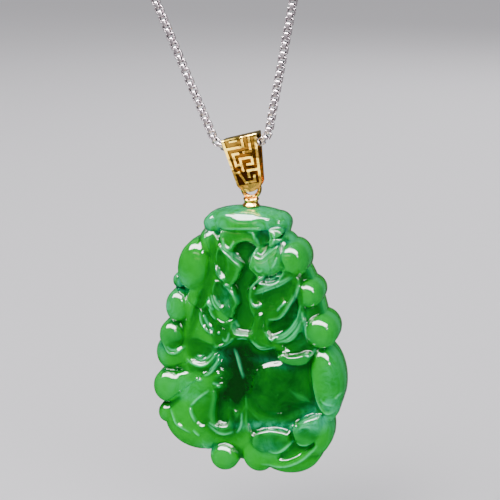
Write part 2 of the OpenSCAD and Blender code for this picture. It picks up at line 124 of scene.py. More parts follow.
# Rounded forms: x, z, half_w, half_h, turn, rise, plump and the share of the rise that
# stands as a wall along the form's edge
LUMPS = (
    # Canopy at the top and the shoulders under it
    (-0.02, 0.885, 0.43, 0.082, 0, 0.92, 2.2, 0.6),
    (-0.34, 0.86, 0.145, 0.075, 8, 0.62, 2.4, 0.5),
    (0.305, 0.865, 0.135, 0.075, -8, 0.62, 2.4, 0.5),
    (-0.02, 0.755, 0.35, 0.075, 0, 0.70, 3, 0),
    (-0.385, 0.71, 0.165, 0.12, 0, 0.68, 3, 0),
    (0.35, 0.69, 0.17, 0.11, 0, 0.62, 3, 0),
    # Ground of the carving
    (0.03, -0.04, 0.83, 0.90, 0, 0.68, 6, 0),
    # Lumps down the left edge
    (-0.565, 0.545, 0.185, 0.19, -10, 0.86, 2.6, 0.45),
    (-0.55, 0.28, 0.12, 0.20, -12, 0.72, 2.6, 0.35),
    (-0.735, 0.42, 0.08, 0.06, 0, 0.56, 2.4, 0.5),
    (-0.74, 0.235, 0.137, 0.125, 0, 0.80, 2.5, 0.45),
    (-0.80, 0.015, 0.137, 0.115, 0, 0.82, 2.5, 0.45),
    (-0.80, -0.125, 0.18, 0.14, 0, 0.66, 2.6, 0.4),
    (-0.82, -0.375, 0.17, 0.13, 0, 0.82, 2.5, 0.45),
    (-0.60, -0.36, 0.24, 0.11, 0, 0.70, 3, 0.7),
    (-0.84, -0.59, 0.10, 0.08, 0, 0.64, 2.4, 0.4),
    (-0.474, -0.61, 0.40, 0.25, 0, 0.78, 3, 0.3),
    # Lumps along the foot
    (-0.225, -0.885, 0.15, 0.11, 0, 0.80, 2.5, 0.45),
    (0.12, -0.85, 0.17, 0.14, 0, 0.68, 2.8, 0.4),
    (0.41, -0.745, 0.375, 0.24, 0, 0.72, 3.5, 0.3),
    (0.67, -0.645, 0.205, 0.18, 0, 0.80, 3, 0.4),
    # Beads up the right edge
    (0.80, -0.465, 0.14, 0.10, 0, 0.64, 2.8, 0.4),
    (0.92, -0.41, 0.05, 0.05, 0, 0.64, 2.4, 0.4),
    (0.83, -0.24, 0.175, 0.24, 6, 0.86, 2.6, 0.45),
    (0.785, 0.115, 0.174, 0.123, 0, 0.84, 2.5, 0.45),
    (0.665, 0.385, 0.145, 0.10, 0, 0.80, 2.5, 0.45),
    (0.50, 0.62, 0.165, 0.13, 0, 0.86, 2.5, 0.45),
)

# Plates: areas of the carving between its ridges, set to a level of their own. Corners are
# shares of the half width and half height, as the camera sees them.
# Level, bulge, reach of the bulge in mm, width of the edge in mm, tone, corners
PLATES = (
    # Dark cave in the middle, and the shelf in it
    (0.48, -0.05, 1.6, 1.8, 0.02,
     "-.33 -.07 -.24 -.035 -.14 0 -.08 .01 0 0 .03 -.02 .08 -.06 .15 -.075 .22 -.06 .28 -.07 "
     ".36 -.14 .36 -.24 .2 -.3 .1 -.35 .05 -.42 0 -.48 -.06 -.56 -.14 -.61 -.22 -.61 -.30 -.56 "
     "-.36 -.48 -.37 -.42 -.31 -.36 -.34 -.33 -.30 -.27 -.35 -.22 -.32 -.17 -.34 -.1"),
    # Groove inside the lumps of the left edge
    (0.60, 0, 1, 0.6, 0.34,
     "-.40 .78 -.37 .72 -.36 .64 -.38 .56 -.38 .48 -.42 .38 -.47 .28 -.53 .20 -.56 .12 -.60 .05 "
     "-.66 -.02 -.66 .06 -.62 .16 -.55 .30 -.48 .42 -.45 .55 -.43 .66 -.43 .74"),
    # Area under the canopy
    (0.70, 0, 1, 0.5, 0.46,
     "-.33 .79 -.15 .785 0 .785 .1 .785 .25 .80 .33 .78 .3 .70 .1 .70 .04 .73 -.05 .74 -.12 .72 "
     "-.2 .64 -.3 .66"),
    # Channel down the middle
    (0.42, -0.05, 1.2, 0.5, 0.34,
     "-.17 .62 -.15 .68 -.10 .71 -.05 .72 0 .72 .05 .70 .07 .67 .04 .63 .01 .58 0 .53 .04 .50 "
     ".08 .47 .08 .44 .04 .41 0 .37 -.005 .32 0 .28 .02 .22 .055 .17 .05 .13 .02 .08 0 .045 "
     "-.05 .045 -.12 .055 -.15 .08 -.18 .125 -.19 .18 -.16 .23 -.13 .26 -.15 .32 -.19 .38 -.16 .42 "
     "-.12 .46 -.11 .50 -.09 .53 -.13 .57"),
    # Leaves at the left of the channel and the pools in them
    (0.74, 0, 1, 0.35, 0.38,
     "-.32 .69 -.29 .65 -.23 .62 -.17 .58 -.09 .53 -.11 .49 -.13 .45 -.17 .41 -.20 .39 -.27 .39 "
     "-.29 .42 -.33 .45 -.37 .50 -.37 .54 -.38 .60 -.36 .66"),
    (0.72, 0, 1, 0.35, 0.27,
     "-.20 .39 -.16 .34 -.15 .30 -.13 .25 -.17 .21 -.19 .15 -.25 .17 -.30 .20 -.35 .25 -.40 .31 "
     "-.41 .36 -.38 .42 -.33 .42 -.27 .39"),
    (0.72, 0, 1, 0.35, 0.24,
     "-.45 .28 -.40 .22 -.35 .15 -.27 .12 -.19 .15 -.18 .12 -.20 .06 -.17 .03 -.14 .01 -.20 -.01 "
     "-.26 -.04 -.33 -.06 -.38 -.05 -.40 .02 -.45 .06 -.50 .13 -.53 .20"),
    (0.66, -0.03, 1.2, 0.9, 0.30,
     "-.36 .62 -.32 .65 -.27 .61 -.25 .56 -.25 .50 -.28 .45 -.33 .46 -.36 .51 -.38 .56"),
    (0.64, -0.03, 1.2, 0.9, 0.28,
     "-.38 .40 -.33 .42 -.27 .39 -.22 .36 -.21 .30 -.25 .26 -.30 .23 -.35 .27 -.39 .33"),
    (0.64, -0.03, 1.2, 0.9, 0.28,
     "-.52 .20 -.47 .24 -.43 .20 -.38 .15 -.36 .10 -.38 .06 -.42 .05 -.47 .10"),
    # Lobes and the pools between them at the right of the channel
    (0.60, 0, 1, 0.45, 0.24,
     ".09 .77 .07 .73 .10 .70 .15 .69 .20 .71 .22 .75 .20 .79 .13 .79"),
    (0.74, 0.06, 1.0, 0.35, 0.60,
     ".20 .79 .22 .74 .20 .69 .23 .67 .28 .69 .33 .70 .36 .74 .35 .78 .28 .80"),
    (0.72, 0.14, 2.2, 0.35, 0.56,
     ".13 .60 .05 .62 .01 .58 .01 .53 .04 .50 .09 .48 .15 .465 .25 .465 .33 .50 .38 .52 .35 .58 "
     ".33 .65 .31 .69 .25 .66 .18 .62"),
    (0.73, 0, 1, 0.4, 0.34,
     "0 .37 0 .28 .02 .22 .055 .17 .15 .15 .2 0 .3 -.03 .5 -.02 .56 .1 .57 .25 .54 .42 .48 .47 "
     ".40 .50 .3 .47 .15 .455 .08 .44"),
    (0.62, 0, 1, 0.4, 0.18,
     ".05 .39 .10 .435 .15 .455 .22 .465 .30 .46 .32 .445 .26 .425 .18 .42 .10 .42 .07 .385"),
    (0.67, -0.04, 1.6, 1.6, 0.26,
     ".05 .32 .14 .335 .24 .36 .34 .385 .44 .435 .47 .40 .45 .34 .41 .275 .36 .285 .30 .25 "
     ".27 .225 .19 .22 .15 .25 .10 .265 .06 .275"),
    (0.60, -0.04, 1.6, 0.9, 0.18,
     ".22 .125 .32 .16 .40 .22 .46 .295 .49 .35 .52 .26 .51 .17 .46 .11 .40 .06 .32 .03 .24 .02 "
     ".20 .06"),
    (0.62, -0.03, 1.2, 0.5, 0.26,
     ".35 -.035 .42 -.02 .49 .01 .54 .06 .58 .04 .61 -.02 .60 -.08 .52 -.095 .42 -.09 .37 -.07"),
    (0.70, 0.14, 1.5, 0.35, 0.36,
     ".055 .17 .10 .20 .15 .20 .16 .14 .15 .08 .16 .05 .20 -.01 .22 -.05 .17 -.06 .12 -.055 "
     ".07 -.03 .03 .01 .01 .06 .03 .12"),
    # Bowls under the left edge's third lump
    (0.60, -0.03, 1.2, 0.6, 0.24,
     "-.66 -.02 -.58 0 -.50 -.02 -.42 -.04 -.37 -.06 -.38 -.12 -.43 -.165 -.50 -.18 -.58 -.17 "
     "-.63 -.145 -.66 -.10"),
    (0.62, 0, 1, 0.5, 0.24,
     "-.66 -.205 -.58 -.22 -.50 -.225 -.42 -.21 -.36 -.15 -.33 -.13 -.34 -.18 -.38 -.225 -.44 -.25 "
     "-.52 -.26 -.60 -.25"),
    # Groove between the terrace and the pods along the foot
    (0.52, 0, 1, 0.5, 0.16,
     "-.02 -.52 .05 -.56 .2 -.60 .4 -.57 .6 -.52 .66 -.54 .55 -.585 .47 -.63 .44 -.66 .38 -.69 "
     ".30 -.685 .20 -.69 .10 -.71 .04 -.72 .0 -.68 -.02 -.60"),
    # Terrace, the ridge over the dome, and the smooth dome itself
    (0.56, 0, 1, 0.7, 0.30,
     "-.04 -.43 -.05 -.50 0 -.56 .08 -.62 .15 -.655 .2 -.665 .28 -.64 .36 -.645 .42 -.62 .50 -.59 "
     ".58 -.56 .66 -.53 .70 -.50 .6 -.4 .2 -.4"),
    (0.44, 0.30, 5.2, 1.3, 0.16,
     ".08 -.215 .12 -.19 .18 -.172 .25 -.162 .32 -.155 .38 -.13 .45 -.10 .55 -.10 .62 -.13 "
     ".64 -.25 .655 -.33 .675 -.40 .685 -.48 .66 -.50 .60 -.495 .52 -.52 .44 -.545 .36 -.575 "
     ".28 -.585 .20 -.585 .12 -.57 .04 -.53 -.01 -.47 -.025 -.42 0 -.36 .02 -.28 .05 -.23"),
    (0.80, 0.04, 0.6, 0.35, 0.34,
     ".28 -.13 .34 -.17 .45 -.19 .58 -.18 .64 -.12 .60 -.095 .50 -.115 .40 -.12 .35 -.10 .30 -.115"),
    # Lower ground beside the zigzag step in the left lobe
    (0.70, 0, 1, 0.6, 0.48,
     "-.42 -.39 -.50 -.43 -.55 -.49 -.615 -.51 -.60 -.56 -.55 -.63 -.50 -.66 -.45 -.65 -.38 -.60 "
     "-.36 -.52 -.35 -.46 -.37 -.40"),
    # Pocket and the tail that curls round it
    (0.50, -0.05, 1.0, 0.8, 0.24,
     "-.33 -.46 -.25 -.455 -.20 -.47 -.20 -.53 -.21 -.60 -.22 -.65 -.28 -.66 -.34 -.635 -.36 -.58 "
     "-.35 -.52"),
    (0.58, 0.04, 1.2, 2.4, 0.22,
     "-.20 -.535 -.15 -.54 -.09 -.52 -.05 -.50 -.045 -.55 -.065 -.62 -.10 -.68 -.16 -.735 "
     "-.24 -.75 -.33 -.74 -.41 -.69 -.45 -.65 -.40 -.64 -.34 -.675 -.27 -.68 -.22 -.665 -.20 -.62 "
     "-.19 -.56"),
    # Pods along the foot and the grooves between them
    (0.72, 0.12, 3.2, 0.35, 0.28,
     ".02 -.76 .05 -.715 .10 -.695 .18 -.68 .26 -.68 .34 -.69 .38 -.705 .41 -.74 .40 -.78 .35 -.82 "
     ".28 -.845 .20 -.845 .12 -.85 .06 -.83 .02 -.80"),
    (0.60, 0, 1, 0.8, 0.36,
     ".40 -.66 .44 -.645 .45 -.70 .46 -.76 .52 -.79 .60 -.78 .66 -.75 .65 -.80 .58 -.83 .48 -.87 "
     ".38 -.90 .30 -.90 .31 -.86 .38 -.83 .43 -.78 .42 -.72"),
    (0.78, 0.10, 1.8, 0.4, 0.32,
     ".44 -.64 .50 -.615 .57 -.59 .66 -.57 .72 -.56 .72 -.62 .70 -.70 .64 -.77 .56 -.79 .49 -.77 "
     ".44 -.72"),
)

# Ridges, each drawn from its start to its end: height of its foot, rise, slope to the left
# and to the right in mm, places as the camera sees them
RIDGES = (
    # Main ridges
    (0.7, 0.051, 0.3, 0.5, "-.322 .686 -.287 .652 -.234 .62 -.173 .584 -.094 .531"),
    (0.7, 0.054, 0.31, 0.5, "-.3 .74 -.27 .68 -.22 .665 -.164 .717"),
    (0.65, 0.085, 0.5, 0.3, "-.37 .54 -.36 .503 -.33 .462 -.27 .43"),
    (0.6, 0.051, 0.3, 0.5, "-.26 .39 -.208 .36 -.164 .33 -.12 .26"),
    (0.6, 0.085, 0.5, 0.3, "-.41 .33 -.375 .26 -.313 .212"),
    (0.6, 0.085, 0.5, 0.3, "-.427 .235 -.4 .19 -.357 .147"),
    (0.6, 0.085, 0.5, 0.3, "-.54 .2 -.497 .107 -.4 .03"),
    (0.6, 0.085, 0.5, 0.3, "-.4 -.06 -.287 -.055 -.2 -.017 -.173 .013"),
    (0.45, 0.051, 0.3, 0.5, "-.177 .125 -.138 .06 -.06 .04 -.015 .05"),
    (0.7, 0.054, 0.31, 0.5, "-.03 .785 .03 .775 .064 .732 .099 .683"),
    (0.7, 0.051, 0.5, 0.3, ".099 .683 .046 .633 .011 .602 0 .53"),
    (0.75, 0.085, 0.5, 0.31, ".11 .58 .213 .64 .31 .69"),
    (0.7, 0.051, 0.31, 0.5, ".244 .788 .275 .75 .266 .714 .213 .677"),
    (0.65, 0.085, 0.31, 0.5, ".17 .478 .125 .441 .046 .404 -.006 .367"),
    (0.7, 0.051, 0.3, 0.5, ".103 .41 .178 .404 .266 .416 .327 .453 .371 .503"),
    (0.7, 0.051, 0.3, 0.31, ".046 .333 .143 .354 .24 .379 .336 .404 .468 .46"),
    (0.6, 0.038, 0.24, 0.24, ".015 .31 .046 .258 .09 .249 .14 .262"),
    (0.7, 0.085, 0.5, 0.31, ".19 .15 .292 .15 .353 .181 .42 .25 .47 .31 .53 .42"),
    (0.7, 0.085, 0.5, 0.3, ".23 .02 .327 .032 .397 .063 .459 .113 .503 .168 .545 .26"),
    (0.7, 0.051, 0.3, 0.31, ".28 -.02 .38 0 .441 .03 .503 .08 .55 .15"),
    (0.55, 0.085, 0.5, 0.3, "0 0 .099 -.06 .196 -.067 .28 -.05"),
    (0.6, 0.085, 0.5, 0.3, "-.924 -.024 -.867 -.1 -.78 -.109 -.69 -.06"),
    (0.6, 0.085, 0.5, 0.3, "-.68 -.15 -.618 -.183 -.522 -.203 -.446 -.183 -.34 -.1"),
    (0.55, 0.085, 0.5, 0.3, "-.484 -.274 -.427 -.258 -.369 -.22 -.3 -.15"),
    (0.6, 0.051, 0.3, 0.3, "-.42 -.385 -.542 -.45 -.615 -.51"),
    (0.6, 0.051, 0.3, 0.3, "-.615 -.51 -.6 -.56 -.55 -.63"),
    (0.35, 0.051, 0.3, 0.31, "-.164 -.065 -.13 -.133 -.101 -.207 -.06 -.3"),
    (0.65, 0.047, 0.5, 0.5, "-.17 -.705 -.26 -.725 -.34 -.71 -.44 -.65"),
    (0.6, 0.085, 0.5, 0.31, "-.84 -.535 -.8 -.59 -.76 -.645 -.68 -.68 -.6 -.715"),
    (0.6, 0.085, 0.5, 0.3, ".66 -.3 .69 -.43 .76 -.525 .83 -.54 .93 -.5"),
    (0.7, 0.054, 0.31, 0.42, ".5 -.625 .57 -.592 .646 -.575 .74 -.545"),
    (0.6, 0.085, 0.5, 0.3, ".19 -.83 .283 -.842 .398 -.788 .45 -.75"),
    (0.4, 0.085, 0.5, 0.5, ".12 -.93 .35 -.945 .56 -.88 .72 -.76"),
    # Fine ridges
    (0.75, 0.045, 0.3, 0.3, "-.322 .7 -.287 .665 -.234 .632 -.173 .596 -.1 .545"),
    (0.7, 0.045, 0.3, 0.3, "-.345 .52 -.33 .487 -.255 .44"),
    (0.7, 0.045, 0.3, 0.3, "-.29 .39 -.25 .398 -.21 .388"),
    (0.7, 0.045, 0.3, 0.3, "-.385 .32 -.355 .27 -.295 .225"),
    (0.7, 0.045, 0.3, 0.3, "-.47 .29 -.436 .25 -.388 .213"),
    (0.7, 0.045, 0.3, 0.3, "-.45 .31 -.43 .27 -.4 .24"),
    (0.7, 0.045, 0.3, 0.3, "-.5 .18 -.46 .115 -.385 .05"),
    (0.7, 0.045, 0.3, 0.3, "-.29 .01 -.265 -.012 -.235 0 -.22 .05"),
    (0.7, 0.045, 0.3, 0.3, "-.345 .05 -.315 .04"),
    (0.3, 0.045, 0.3, 0.3, "-.12 .01 -.06 .017 0 .01"),
    (0.3, 0.045, 0.3, 0.3, "-.15 .15 -.13 .11 -.1 .09"),
    (0.8, 0.045, 0.3, 0.3, ".095 .675 .045 .625 .012 .59 .008 .545"),
    (0.75, 0.045, 0.3, 0.3, ".055 .545 .075 .513 .11 .5 .145 .515"),
    (0.8, 0.045, 0.3, 0.3, ".22 .52 .27 .55 .3 .6"),
    (0.75, 0.022, 0.3, 0.3, ".2 .775 .225 .745 .215 .71"),
    (0.75, 0.045, 0.3, 0.3, ".12 .43 .2 .43 .27 .45 .33 .49"),
    (0.75, 0.045, 0.3, 0.3, ".06 .35 .15 .375 .25 .4 .34 .425 .44 .46"),
    (0.65, 0.038, 0.24, 0.24, ".292 .212 .336 .249 .389 .28"),
    (0.75, 0.045, 0.3, 0.3, ".42 .245 .475 .3 .512 .36 .525 .4"),
    (0.75, 0.045, 0.3, 0.3, ".26 .005 .335 .012 .405 .045 .47 .095 .515 .15"),
    (0.75, 0.045, 0.3, 0.3, ".35 -.02 .42 0 .47 .03 .51 .07"),
    (0.8, 0.045, 0.3, 0.3, ".16 .055 .187 .013 .213 -.011"),
    (0.8, 0.045, 0.3, 0.3, ".205 -.015 .235 0 .266 .025"),
    (0.6, 0.045, 0.3, 0.3, ".02 -.01 .099 -.045 .19 -.052"),
    (0.6, 0.045, 0.3, 0.3, ".56 .22 .585 .12 .6 0"),
    (0.6, 0.045, 0.3, 0.3, "-.88 -.05 -.83 -.085 -.76 -.08"),
    (0.65, 0.045, 0.3, 0.3, "-.6 -.145 -.522 -.165 -.45 -.148 -.39 -.1"),
    (0.65, 0.045, 0.3, 0.3, "-.57 -.126 -.54 -.143 -.484 -.132"),
    (0.6, 0.045, 0.3, 0.3, "-.43 -.235 -.37 -.2 -.32 -.145"),
    (0.6, 0.045, 0.3, 0.3, "-.57 -.298 -.53 -.31 -.494 -.305"),
    (0.6, 0.045, 0.3, 0.3, "-.393 -.329 -.35 -.345 -.312 -.376"),
    (0.3, 0.045, 0.3, 0.3, "-.14 -.08 -.11 -.14 -.085 -.21 -.05 -.29"),
    (0.75, 0.027, 0.3, 0.3, "-.44 -.64 -.38 -.665 -.33 -.685"),
    (0.7, 0.027, 0.3, 0.3, "-.095 -.56 -.1 -.66 -.15 -.72"),
    (0.7, 0.045, 0.3, 0.3, "-.589 -.69 -.555 -.715 -.52 -.74"),
    (0.5, 0.045, 0.3, 0.3, "-.48 -.79 -.446 -.849 -.369 -.875"),
    (0.6, 0.045, 0.3, 0.3, ".4 -.79 .35 -.825 .28 -.845"),
    (0.8, 0.045, 0.3, 0.3, ".512 -.636 .589 -.612 .694 -.6"),
    (0.8, 0.045, 0.3, 0.3, ".5 -.66 .54 -.64 .6 -.635 .64 -.66"),
    (0.7, 0.045, 0.3, 0.3, ".47 -.76 .54 -.785 .62 -.765"),
    (0.6, 0.045, 0.3, 0.3, ".74 -.42 .79 -.46 .88 -.475"),
    (0.5, 0.045, 0.3, 0.3, ".895 -.42 .92 -.395 .96 -.38"),
    (0.65, 0.045, 0.3, 0.3, ".57 -.095 .637 -.105 .685 -.068"),
    (0.8, 0.045, 0.3, 0.3, "-.33 .803 -.1 .806 .1 .803 .13 .8"),
)

# Milky pale zones: x, z, half_w, half_h, turn, strength
PALE = (
    (-0.34, 0.87, 0.16, 0.08, 0, 1.0),
    (0.30, 0.88, 0.20, 0.08, 0, 1.0),
    (0.0, 0.95, 0.50, 0.05, 0, 1.0),
    (-0.28, -0.12, 0.10, 0.07, 0, 0.35),
    (0.30, -0.14, 0.18, 0.03, -6, 0.4),
    (-0.74, 0.42, 0.16, 0.09, 0, 0.9),
    (-0.82, 0.24, 0.10, 0.12, 0, 0.6),
    (-0.92, -0.10, 0.08, 0.16, 0, 0.4),
    (0.38, 0.74, 0.14, 0.08, 0, 0.7),
    (0.24, 0.62, 0.16, 0.12, 0, 0.5),
    (0.58, 0.16, 0.08, 0.14, 0, 0.25),
    (0.90, -0.14, 0.10, 0.20, 0, 0.3),
    (0.90, -0.42, 0.14, 0.10, 0, 0.9),
    (0.78, -0.53, 0.18, 0.08, 0, 1.0),
    (-0.60, -0.42, 0.14, 0.05, 0, 0.5),
    (0.30, -0.61, 0.36, 0.035, 4, 0.9),
    (0.26, -0.76, 0.16, 0.08, 0, 0.35),
    (-0.42, -0.82, 0.10, 0.06, 0, 0.6),
    (-0.62, -0.36, 0.16, 0.08, 0, 0.4),
    (-0.20, 0.30, 0.06, 0.14, 0, 0.3),
)

# Deeper zones: x, z, half_w, half_h, turn, how much deeper the tone gets
DEEP = (
    (-0.75, -0.02, 0.13, 0.11, 0, 0.25),
    (-0.30, -0.48, 0.22, 0.17, 0, 0.12),
    (0.70, 0.05, 0.10, 0.16, 0, 0.22),
    (-0.10, -0.62, 0.13, 0.10, 0, 0.20),
    (0.88, -0.30, 0.14, 0.20, 0, 0.12),
    (-0.48, 0.30, 0.08, 0.20, -12, 0.10),
)

# Carving
# Steps between two corners of a plate and two places of a ridge
PLATE_STEPS = 3
RIDGE_STEPS = 5
# How far round a plate its tone reaches, in mm
PLATE_MARGIN = 0.8
# Rounding of a ridge's crest and half width of the thin line on it where a highlight is painted, in mm
CREST = 0.1
CREST_HIGHLIGHT_HALF_W = 0.16
# How soon a ridge rises from its ends to its full height
RIDGE_ENDS = 4.4
# Tone of the face where no plate sets one, and of the back
FACE_TONE = 0.62
BACK_TONE = 0.6
# Greatest height of a plate, as a multiple of the lumps below it
PLATE_MOST = 2.2
# Height of the lumps from which a ridge has its full rise
RIDGE_FULL = 0.4
# Fall of a patch with the distance from its middle
PATCH_FALL = 1.4
# Columns and passes of the blur that finds the hollows, and their gain
BLUR_COLUMNS = 256
BLUR_PASSES = 10
HOLLOW_GAIN = 6


def smooth_step(share):
    """A smooth rise from 0 to 1 as the share goes from 0 to 1."""
    share = np.clip(share, 0, 1)
    return share * share * (3 - 2 * share)


def in_form(form, x, z):
    turn = math.radians(form[4])
    wide, high = x * HALF_W, z * HALF_H
    a = (wide * math.cos(turn) + high * math.sin(turn)) / (form[2] * HALF_W)
    b = (high * math.cos(turn) - wide * math.sin(turn)) / (form[3] * HALF_H)
    return a, b


def from_form(form, x, z):
    return np.hypot(*in_form(form, x - form[0], z - form[1]))


def placed(text, height):
    """Places as the camera sees them, moved to where they lie on a face of this height."""
    seen = np.array([float(word) for word in text.split()]).reshape(-1, 2)
    x = seen[:, 0] + SEEN_X * height
    z = seen[:, 1] + SEEN_Z * height + SEEN_SLANT * seen[:, 0]
    return np.stack([x * HALF_W, z * HALF_H], axis=1)


def smooth_path(points, shaded_corners, steps):
    """A smooth curve through the points."""
    count = len(points)
    out = []
    for i in range(count if shaded_corners else count - 1):
        if shaded_corners:
            a, b, c, d = (points[(i + k) % count] for k in (-1, 0, 1, 2))
        else:
            a, b, c, d = (points[min(max(i + k, 0), count - 1)] for k in (-1, 0, 1, 2))
        for k in range(steps):
            s = k / steps
            out.append(0.5 * (2 * b + (c - a) * s + (2 * a - 5 * b + 4 * c - d) * s ** 2
                              + (3 * b - a - 3 * c + d) * s ** 3))
    if not shaded_corners:
        out.append(points[-1])
    return np.array(out)


def nearest(px, pz, path):
    """Distance to a path, the side of it, and the share along it."""
    best = np.full(px.shape, 1e9)
    side = np.zeros(px.shape)
    along = np.zeros(px.shape)
    count = len(path) - 1
    for i in range(count):
        ax, az = path[i]
        rx, rz = path[i + 1] - path[i]
        square = max(rx * rx + rz * rz, 1e-9)
        s = np.clip(((px - ax) * rx + (pz - az) * rz) / square, 0, 1)
        dx, dz = px - ax - s * rx, pz - az - s * rz
        far = np.hypot(dx, dz)
        closer = far < best
        best = np.where(closer, far, best)
        side = np.where(closer, np.sign(rx * dz - rz * dx), side)
        along = np.where(closer, (i + s) / count, along)
    return best, side, along


def inside(px, pz, path):
    odd = np.zeros(px.shape, bool)
    for i in range(len(path)):
        ax, az = path[i]
        bx, bz = path[(i + 1) % len(path)]
        if az != bz:
            odd ^= ((az > pz) != (bz > pz)) & (px < (bx - ax) * (pz - az) / (bz - az) + ax)
    return odd


def near_box(px, pz, path, margin):
    low, high = path.min(axis=0) - margin, path.max(axis=0) + margin
    return (px > low[0]) & (px < high[0]) & (pz > low[1]) & (pz < high[1])


def paint_plate(high, tone, x, z, plate):
    """Set the height and the tone inside one plate, with soft edges."""
    level, bulge, reach, edge, shade, corners = plate
    path = smooth_path(placed(corners, level), True, PLATE_STEPS)
    px, pz = x * HALF_W, z * HALF_H
    near = near_box(px, pz, path, PLATE_MARGIN + edge)
    deep = nearest(px[near], pz[near], np.concatenate([path, path[:1]]))[0]
    deep = np.where(inside(px[near], pz[near], path), deep, -deep)
    inner = 1 - np.clip(deep / reach, 0, 1)
    wanted = level + bulge * (1 - inner ** 3)
    high[near] += (wanted - high[near]) * smooth_step(deep / edge + 0.5)
    tone[near] += (shade - tone[near]) * smooth_step(deep / (1 + 1.5 * edge) + 0.5)


def raise_ridge(high, line, x, z, ridge):
    """Add one ridge's rise, and the thin line along its crest where a highlight is painted."""
    foot, rise, left, right, places = ridge
    path = smooth_path(placed(places, foot), False, RIDGE_STEPS)
    px, pz = x * HALF_W, z * HALF_H
    near = near_box(px, pz, path, max(left, right))
    far, side, along = nearest(px[near], pz[near], path)
    wide = np.where(side > 0, left, right)
    from_crest = np.sqrt(far ** 2 + CREST ** 2) - CREST
    slope = np.clip(1 - from_crest / (wide - CREST / 2), 0, 1) ** 1.1
    taper = np.clip(RIDGE_ENDS * along * (1 - along), 0, 1)
    high[near] += rise * slope * taper
    line[near] = np.maximum(line[near], np.exp(-(far / CREST_HIGHLIGHT_HALF_W) ** 2) * taper)


def canopy(away, along):
    """The canopy's roof slopes back along its middle and is blunt towards its two ends."""
    end = smooth_step((np.abs(along - 0.06) - 0.2) / 0.3)
    roof = 1 - 0.28 * away ** (1.645 + 4.4 * end)
    return roof * np.sqrt(1 - away ** 24) * (1 - 0.5 * (along - 0.08) ** 2)


def relief(x, z):
    """Height of the face, the tone of its green and the ridges' lines, where highlights are painted,
    over each place.
    """
    mean = np.zeros_like(x)
    for form in LUMPS:
        away = np.minimum(from_form(form, x, z), 1)
        dome = form[7] + (1 - form[7]) * np.sqrt(1 - away ** form[6])
        if form is LUMPS[0]:
            dome = canopy(away, (x - form[0]) / form[2])
        dome = np.where(away < 1, dome, 0)
        mean += (form[5] * dome) ** BLEND
    body = mean ** (1 / BLEND)
    high = body.copy()
    tone = np.full(x.shape, FACE_TONE)
    for plate in PLATES:
        paint_plate(high, tone, x, z, plate)
    raised = np.zeros_like(x)
    line = np.zeros_like(x)
    for ridge in RIDGES:
        raise_ridge(raised, line, x, z, ridge)
    high = np.minimum(high, body * PLATE_MOST) + raised * np.minimum(1, body / RIDGE_FULL)
    return high, tone, line


def outline(angle):
    """How far the face reaches from its middle at each angle."""
    reach = np.zeros_like(angle)
    for form in LUMPS:
        way_a, way_b = in_form(form, np.cos(angle), np.sin(angle))
        mid_a, mid_b = in_form(form, form[0], form[1])
        square = way_a ** 2 + way_b ** 2
        along = way_a * mid_a + way_b * mid_b
        across = along ** 2 - square * (mid_a ** 2 + mid_b ** 2 - 1)
        far = (along + np.sqrt(np.maximum(across, 0))) / square
        reach = np.maximum(reach, np.where(across < 0, 0, far))
    return reach


def patches(x, z, table):
    """Soft round patches over the carving: x, z, half_w, half_h, turn, strength."""
    out = np.zeros_like(x)
    for patch in table:
        fall = np.exp(-from_form(patch, x, z) ** 2 * PATCH_FALL)
        out = np.maximum(out, patch[5] * fall)
    return out


def first_of(ring):
    """Number of a ring's first point on the face, where each ring has 8 points more."""
    return 0 if ring == 0 else 1 + 4 * ring * (ring - 1)


def concavity(high, rings):
    """How far each place lies below its surroundings, blurred over rings and columns; the material
    paints shade into the hollows and light onto the raised edges from it.
    """
    polar = np.zeros((rings + 1, BLUR_COLUMNS))
    polar[0] = high[0]
    for k in range(1, rings + 1):
        row = high[first_of(k):first_of(k + 1)]
        at = np.arange(BLUR_COLUMNS) * 8 * k / BLUR_COLUMNS
        polar[k] = np.interp(at, np.arange(8 * k + 1), np.append(row, row[0]))
    for _ in range(BLUR_PASSES):
        for k in range(rings + 1):
            spread = max(1, int(round(BLUR_COLUMNS * 0.5 / (2 * math.pi * max(k, 1)))))
            left, right = np.roll(polar[k], spread), np.roll(polar[k], -spread)
            polar[k] = (left + polar[k] * 2 + right) / 4
        polar[1:-1] = (polar[:-2] + 2 * polar[1:-1] + polar[2:]) / 4
    out = np.zeros(len(high))
    out[0] = polar[0, 0] - high[0]
    for k in range(1, rings + 1):
        row = np.append(polar[k], polar[k, 0])
        at = np.arange(8 * k) * BLUR_COLUMNS / (8 * k)
        part = slice(first_of(k), first_of(k + 1))
        out[part] = np.interp(at, np.arange(BLUR_COLUMNS + 1), row) - high[part]
    return np.clip(0.5 + out * HOLLOW_GAIN, 0, 1)


def make_mesh(name, points, faces):
    mesh = bpy.data.meshes.new(name)
    mesh.vertices.add(len(points))
    mesh.vertices.foreach_set("co", np.asarray(points, dtype=np.float32).ravel())
    sizes = np.array([len(face) for face in faces])
    starts = np.concatenate([[0], np.cumsum(sizes)[:-1]])
    corners = np.concatenate([np.asarray(face) for face in faces])
    mesh.loops.add(int(sizes.sum()))
    mesh.loops.foreach_set("vertex_index", corners.astype(np.int32))
    mesh.polygons.add(len(faces))
    mesh.polygons.foreach_set("loop_start", starts.astype(np.int32))
    mesh.polygons.foreach_set("loop_total", sizes.astype(np.int32))
    mesh.update(calc_edges=True)
    mesh.validate()
    mesh.polygons.foreach_set("use_smooth", np.full(len(mesh.polygons), True))
    thing = bpy.data.objects.new(name, mesh)
    bpy.context.collection.objects.link(thing)
    return thing


